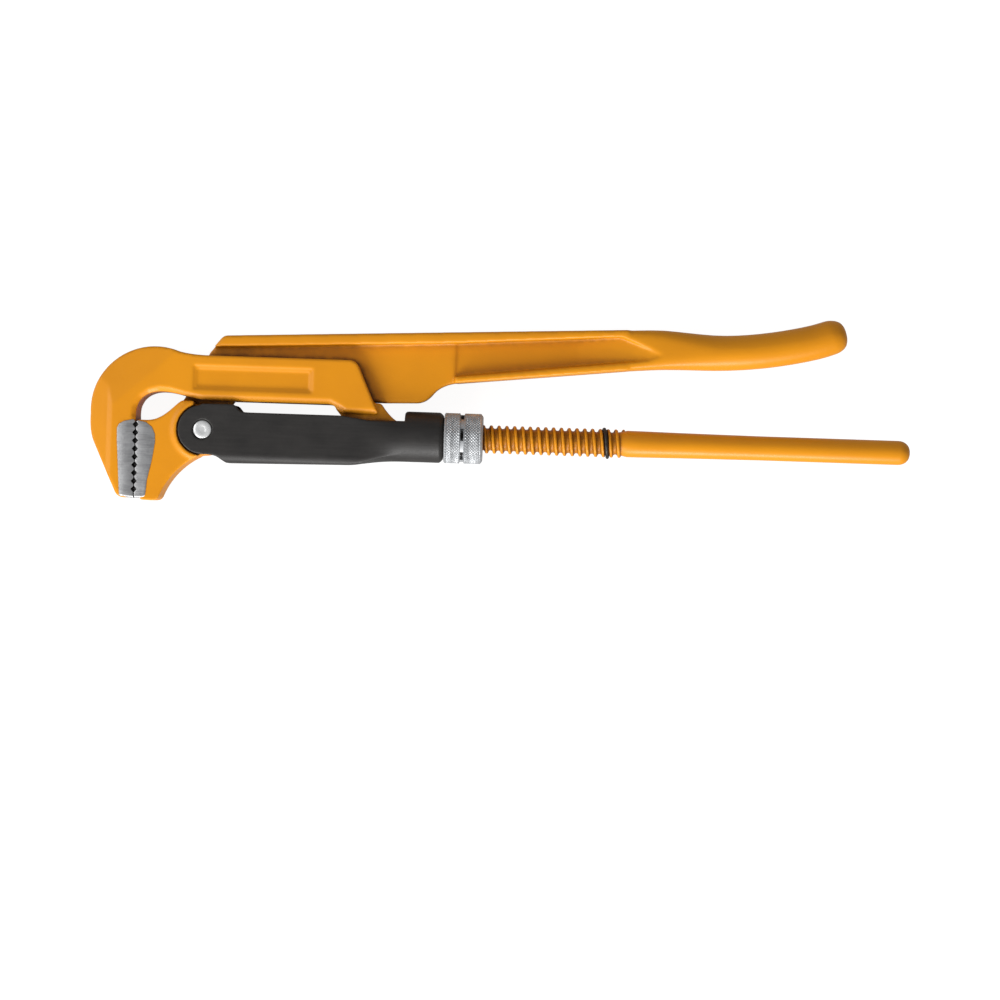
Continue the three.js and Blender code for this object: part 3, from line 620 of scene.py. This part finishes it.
# %% Hook arm forging
SPINDLE_CUT = 160.0
hook = copy_of("hook_arm", "hook_arm_forging")
edit(hook, "FACE")
bpy.ops.mesh.select_all(action="SELECT")
bpy.ops.mesh.bisect(plane_co=at(SPINDLE_CUT, 0), plane_no=(1, 0, 0), use_fill=True, clear_outer=True)
clean()
cut(hook, slab("pad_space", [(-3, -45), (4, -45), (4, 2.6), (-3, 2.6)], -20, 20))
forge(hook, voxel=0.6, passes=7, shape=hook_shape)
finish(hook, paint, "hook_arm", "paint", "hook_arm")

# %% [markdown]
# ## Screw spindle and lower handle
# A turned bar with a coarse trapezoid thread, painted over, so the paint fills the thread's corners. The thread
# is one closed strip, wound with a Screw modifier at the true pitch and laid on a plain core. The core is a little
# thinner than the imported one, which keeps the shadow between the turns dark. Remeshing the two as one gives the
# filled corners. The handle beyond needs no such fine mesh, so it is spun separately.

# %% A closed section wound about the spindle's axis
def wound(name, section, x, first_turn, turns, pitch, steps):
    """Section points are (x, radius). It starts at x, first_turn turns from the top, and both ends are filled."""
    clean()
    bpy.ops.mesh.primitive_circle_add(vertices=len(section))
    obj = bpy.context.object
    for vertex, (along, radius) in zip(obj.data.vertices, section):
        vertex.co = (along * MM, radius * MM, 0)
    modifier(
        obj, "SCREW", axis="X", angle=turns * 2 * math.pi, screw_offset=pitch * turns * MM, iterations=1,
        steps=steps, render_steps=steps, use_merge_vertices=False,
    )
    edit(obj, "EDGE")
    bpy.ops.mesh.select_all(action="SELECT")
    bpy.ops.mesh.region_to_loop()
    bpy.ops.mesh.fill()
    clean()
    obj.location = at(x, 0)
    obj.rotation_euler = (first_turn * 2 * math.pi, 0, 0)
    return outward(settle(obj, name))


def round_section(radius, wire_diameter, corners=16):
    half = wire_diameter / 2
    angles = [2 * math.pi * i / corners for i in range(corners)]
    return [(half * math.cos(a), radius + half * math.sin(a)) for a in angles]


# %% Threaded core
THREAD_PITCH = 4.0
THREAD_START = 161.0
THREAD_END = 249.0
CREST_RADIUS = 7.3
ROOT_RADIUS = 5.65
CREST_HALF = 0.6
FOOT_HALF = 1.23
core_profile = [(156, 0.0001), (156, 5.3), (157, ROOT_RADIUS), (251, ROOT_RADIUS), (252, 5.3), (252, 0.0001)]
core = turned("spindle_thread", core_profile, 64)
foot_radius = ROOT_RADIUS - 0.4
ridge_section = [(-FOOT_HALF, foot_radius), (FOOT_HALF, foot_radius)]
ridge_section += [(CREST_HALF, CREST_RADIUS), (-CREST_HALF, CREST_RADIUS)]
turns = (THREAD_END - THREAD_START) / THREAD_PITCH
ridge = wound(
    "ridge", ridge_section, x=THREAD_START, first_turn=0, turns=turns, pitch=THREAD_PITCH, steps=round(48 * turns)
)
print("the ridge winds", turns, "turns")
thread = join([core, ridge], "spindle_thread")
forge(thread, voxel=0.4, passes=2)
finish(thread, paint, "hook_arm", "paint")

# %% Lower handle
HANDLE_END = 396.1
HANDLE_RADIUS = 6.2
END_LENGTH = 6.0
END_ROUNDNESS = 0.8
handle_profile = [(246, 0.0001), (246, 5.8), (248, 6.15), (251, 6.8), (258, 6.76), (279, 6.5)]
handle_profile += [(319, HANDLE_RADIUS), (355, HANDLE_RADIUS), (HANDLE_END - END_LENGTH, HANDLE_RADIUS)]
for step in range(1, 8):
    turn = math.radians(90 * step / 8)
    x = HANDLE_END - END_LENGTH * (1 - math.sin(turn))
    handle_profile.append((x, HANDLE_RADIUS * math.cos(turn) ** END_ROUNDNESS))
handle_profile.append((HANDLE_END, 0.0001))
handle = smooth(turned("lower_handle", handle_profile, 72), 50)
finish(handle, paint, "hook_arm", "paint")
print("handle", len(handle.data.polygons), "faces")

# %% [markdown]
# ## The lever's forging
# Lower jaw, boss, web, beam and grip are the second forging, and it is rounded in the same way as the first.
# The grip is a long bare curve where a facet would show at once, so it gets a few more smoothing passes.

# %% Lever forging
lever = copy_of("lever", "lever_forging")
cut(lever, slab("pad_space", [(-4, -45), (3, -45), (3, 2.0), (-4, 2.0)], -20, 20))
forge(lever, voxel=0.68, passes=11)
finish(lever, paint, "lever", "paint", "lever")

# %% [markdown]
# ## The link
# A sheet pressed to a channel, with two round eyes on the rivet and a collar that holds the nut. Its edges are
# blanked and tumbled, so they are rounded much less than a forging's: a finer remesh and fewer passes.

# %% Link
LINK_HALF = 13.0
COLLAR_START = 136.7
COLLAR_RADIUS = LINK_HALF - 0.05
LINK_SHEET = 3.5
NARROWING = 27.0
CHANNEL_END = COLLAR_START + 6.2


def link_shape(p, normal):
    """Draws the flat channel in to the round of the collar."""
    share = max(0.0, min(1.0, (p.x - COLLAR_START + NARROWING) / NARROWING))
    share *= share * (3 - 2 * share)
    radius = math.hypot(p.y, p.z)
    outside = normal.y * p.y + normal.z * p.z > -0.3 * radius
    limit = COLLAR_RADIUS if outside else COLLAR_RADIUS - LINK_SHEET + 0.9
    if radius <= limit or (p.x > CHANNEL_END and not outside):
        return p.x, p.y, p.z
    scale = (limit + (radius - limit) * (1 - share)) / radius
    return p.x, p.y * scale, p.z * scale


link = copy_of("link", "link_channel")
forge(link, voxel=0.48, passes=4, shape=link_shape)
finish(link, black, "link", "blackened_steel", "link")

# %% [markdown]
# ## The rivet
# Its head is peened flat into a shallow countersink, so it is a low dome with a ring struck by the peening tool.
# A profile spun about the pivot gives both heads and the shank at once.

# %% Rivet
peened_head = [(0.0001, 12.62), (1.1, 12.62), (1.7, 12.72), (2.3, 12.94), (3.2, 12.9), (4.0, 12.74)]
peened_head += [(4.5, 12.5), (4.78, 12.1), (4.8, 11.9), (4.1, 11.9)]
profile = peened_head + [(radius, -z) for radius, z in reversed(peened_head)]
clean()
bpy.ops.mesh.primitive_circle_add(vertices=len(profile))
rivet = bpy.context.object
for vertex, (radius, z) in zip(rivet.data.vertices, profile):
    vertex.co = pivot_point + Vector((radius * MM, 0, z * MM))
edit(rivet, "VERT")
bpy.ops.mesh.select_all(action="SELECT")
bpy.ops.mesh.spin(steps=64, angle=2 * math.pi, center=pivot_point, axis=(0, 0, 1))
clean()
rivet = smooth(outward(settle(rivet, "peened_rivet")), 50)
finish(rivet, bright, "link", "bright_steel", "pivot_rivet")
print("rivet", len(rivet.data.polygons), "faces")

# %% [markdown]
# ## The adjusting nut
# A plated sleeve with two knurled bands, a groove between them and windows in the groove through which the
# retaining ring was closed. The knurl is cut by two sets of crossing helical grooves, so it can be worked out
# from the angle and the place along the axis. The sleeve is spun with rings fine enough to carry it, and each
# point of a band is then pressed in by the depth of the nearest groove.

# %% Nut sleeve
NUT_RADIUS = 12.95
SPIGOT_END = 168.2
SPIGOT_RADIUS = 9.5
NUT_START = 157.0
NUT_END = 176.9
BORE = 7.7
COUNTERBORE = SPIGOT_RADIUS + 0.3
GROOVE_AT = SPIGOT_END - 2
KNURL_STARTS = 52
KNURL_DEPTH = 0.5
KNURL_RING = 0.25
KNURL_FADE = 0.5
BANDS = [(NUT_START + 0.7, GROOVE_AT - 1.3), (GROOVE_AT + 1.3, NUT_END - 1.4)]
profile = [(NUT_START, COUNTERBORE), (NUT_START, NUT_RADIUS - 0.8), (NUT_START + 0.3, NUT_RADIUS - 0.3)]
for band_start, band_end in BANDS:
    rings = round((band_end - band_start) / KNURL_RING)
    profile += [(band_start + (band_end - band_start) * i / rings, NUT_RADIUS) for i in range(rings + 1)]
    if band_start < GROOVE_AT:
        profile += [(GROOVE_AT - 0.9, NUT_RADIUS - 0.9), (GROOVE_AT + 0.9, NUT_RADIUS - 0.9)]
profile += [(NUT_END - 1.1, NUT_RADIUS - 0.15), (NUT_END - 0.3, NUT_RADIUS - 1.2), (NUT_END, NUT_RADIUS - 1.8)]
profile += [(NUT_END, BORE + 0.5), (NUT_END - 0.5, BORE), (SPIGOT_END + 0.3, BORE), (SPIGOT_END + 0.3, COUNTERBORE)]
nut = turned("knurled_nut", profile, 312)
for vertex in nut.data.vertices:
    p = (vertex.co - at(0, 0)) / MM
    radius = math.hypot(p.y, p.z)
    inside = [band for band in BANDS if band[0] - 0.01 < p.x < band[1] + 0.01]
    if radius < NUT_RADIUS - 0.05 or not inside:
        continue
    around = KNURL_STARTS * math.atan2(p.z, p.y) / (2 * math.pi)
    along = p.x / (2 * math.pi * NUT_RADIUS / KNURL_STARTS)
    grooves = [abs((around + side * along) % 1 - 0.5) * 2 for side in (1, -1)]
    fade = min(1, (p.x - inside[0][0]) / KNURL_FADE, (inside[0][1] - p.x) / KNURL_FADE)
    press = 1 - KNURL_DEPTH * fade * max(grooves) ** 1.6 / radius
    vertex.co = at(p.x, p.y * press, p.z * press)
print("nut", len(nut.data.polygons), "faces")

# %% Nut windows and inner thread
WINDOW_COUNT = 6
WINDOW_SIZE = Vector((1.6, 6.4, 5.0))
FIRST_WINDOW = 8
reach = COUNTERBORE + 2.4
windows = []
for i in range(WINDOW_COUNT):
    clean()
    bpy.ops.mesh.primitive_cube_add(size=1)
    window = bpy.context.object
    window.scale = WINDOW_SIZE * MM
    angle = math.radians(FIRST_WINDOW + 360 / WINDOW_COUNT * i)
    window.location = at(GROOVE_AT, reach * math.sin(angle), reach * math.cos(angle))
    window.rotation_euler = (-angle, 0, 0)
    windows.append(settle(window))
cut(nut, join(windows, "nut_windows"))
inner_section = [(-0.66, 6.5), (0.66, 6.5), (1.3, BORE + 0.4), (-1.3, BORE + 0.4)]
groove_start = THREAD_START + 2.5 * THREAD_PITCH
nut_thread = wound(
    "nut_thread", inner_section, x=groove_start, first_turn=0, turns=1.1, pitch=THREAD_PITCH, steps=52
)
nut = smooth(join([nut, nut_thread], "knurled_nut"), 35)
finish(nut, zinc, "nut", "zinc_plate", "adjusting_nut")

# %% [markdown]
# ## The wire rings
# One open ring lies in the groove between collar and nut and lets the nut turn but not leave. Another lies in the
# last turn of the thread, where it stops the nut. Both are a round section wound about the axis, like the thread.

# %% Wire rings
RETAINING_WIRE = 0.86
retaining_section = round_section(SPIGOT_RADIUS + 0.15, RETAINING_WIRE)
ring = wound("nut_retaining_wire", retaining_section, x=GROOVE_AT, first_turn=0.55, turns=0.9, pitch=0, steps=64)
finish(smooth(ring, 60), wire, "nut", "spring_wire", "nut_retaining_ring")
STOP_WIRE = 1.66
STOP_SEAT = 6.4
first_groove = THREAD_START + THREAD_PITCH / 2
stop_turn = round((THREAD_END - 10 - first_groove) / THREAD_PITCH) - 0.2
stop_section = round_section(STOP_SEAT + STOP_WIRE / 2, STOP_WIRE)
stop = wound(
    "thread_stop_wire", stop_section, x=first_groove + stop_turn * THREAD_PITCH, first_turn=stop_turn % 1,
    turns=0.92, pitch=THREAD_PITCH, steps=64,
)
finish(smooth(stop, 60), wire, "hook_arm", "spring_wire", "thread_stop_ring")
for piece, packed in ((ring, "nut_retaining_ring"), (stop, "thread_stop_ring"), (nut, "adjusting_nut")):
    corners = [[f(v.co[i] for v in piece.data.vertices) for i in range(3)] for f in (min, max)]

# %% [markdown]
# ## Floor, light and camera
# The wrench lies on its side on a plain pale floor and is seen from straight above. The key light stands low on the
# left in front of it, so the lower and left flanks of each forging are bright and the upper ones fall dark. A weaker
# light from the left and a low strip in front fill the rest. The floor glows a little, like a light table, so that
# the gaps between the pieces stay clear. Floor and background look brighter to the camera than to the wrench,
# because a white that bright would wash out the paint.

# %% Floor
clean()
bpy.ops.mesh.primitive_plane_add(size=6, location=(0, 0, cad_low.z - 0.0004))
floor = settle(bpy.context.object, "floor")
pale, tree, shader = material("pale_floor", Emission_Color=(1, 1, 1, 1))
FLOOR_GLOW = 0.25
FLOOR_GLOW_SEEN = 0.93
seen = node(tree, "LightPath").outputs["Is Camera Ray"]
tree.links.new(remap(tree, seen, 0.0, 1.0, FLOOR_GLOW, FLOOR_GLOW_SEEN), shader.inputs["Emission Strength"])
grain = use(tree, GRAIN, Cloud_Scale=3.0, Speck_Scale=400.0)
cloudy = maths(tree, "MULTIPLY", grain["Clouds"], 0.25)
colour = blend_colours(tree, cloudy, (0.17, 0.17, 0.17, 1), (0.16, 0.16, 0.16, 1))
tree.links.new(colour, shader.inputs["Base Color"])
tree.links.new(maths(tree, "ADD", maths(tree, "MULTIPLY", grain["Specks"], 0.1), 0.7), shader.inputs["Roughness"])
floor.data.materials.append(pale)


# %% Lights
def area_light(name, place, target, size, watts, colour=(1, 1, 1)):
    data = bpy.data.lights.new(name, "AREA")
    data.shape = "SQUARE"
    data.size = size
    data.energy = watts
    data.color = colour
    lamp = bpy.data.objects.new(name, data)
    bpy.context.scene.collection.objects.link(lamp)
    lamp.location = place
    lamp.rotation_euler = (Vector(target) - Vector(place)).to_track_quat("-Z", "Y").to_euler()
    return lamp


middle = (cad_low + cad_high) / 2
area_light("key", middle + Vector((-0.75, -1.05, 0.75)), middle, 0.8, 17)
area_light("left_fill", middle + Vector((-1.3, 0.25, 0.9)), middle, 0.9, 7)
area_light("front_strip", middle + Vector((0.15, -1.3, 0.36)), middle, 0.45, 13)
world = bpy.data.worlds.new("studio")
world.use_nodes = True
WORLD_LIGHT = 0.38
WORLD_SEEN = 0.95
tree = world.node_tree
background = tree.nodes["Background"]
background.inputs["Color"].default_value = (0.95, 0.97, 1.0, 1)
seen = node(tree, "LightPath").outputs["Is Camera Ray"]
tree.links.new(remap(tree, seen, 0.0, 1.0, WORLD_LIGHT, WORLD_SEEN), background.inputs["Strength"])
bpy.context.scene.world = world
bpy.context.scene.view_settings.view_transform = "Standard"

# %% Camera
CAMERA_HEIGHT = 1.4
FRAME_WIDTH = 0.51345
camera_data = bpy.data.cameras.new("camera")
camera = bpy.data.objects.new("camera", camera_data)
bpy.context.scene.collection.objects.link(camera)
camera.location = at(186.7, -30.9) + Vector((0, 0, CAMERA_HEIGHT))
camera.rotation_euler = (0, 0, math.radians(1.9))
camera_data.sensor_width = 36
camera_data.lens = 36 * CAMERA_HEIGHT / FRAME_WIDTH
bpy.context.scene.camera = camera
print("camera", [round(c, 3) for c in camera.location], round(camera_data.lens, 2), "mm")
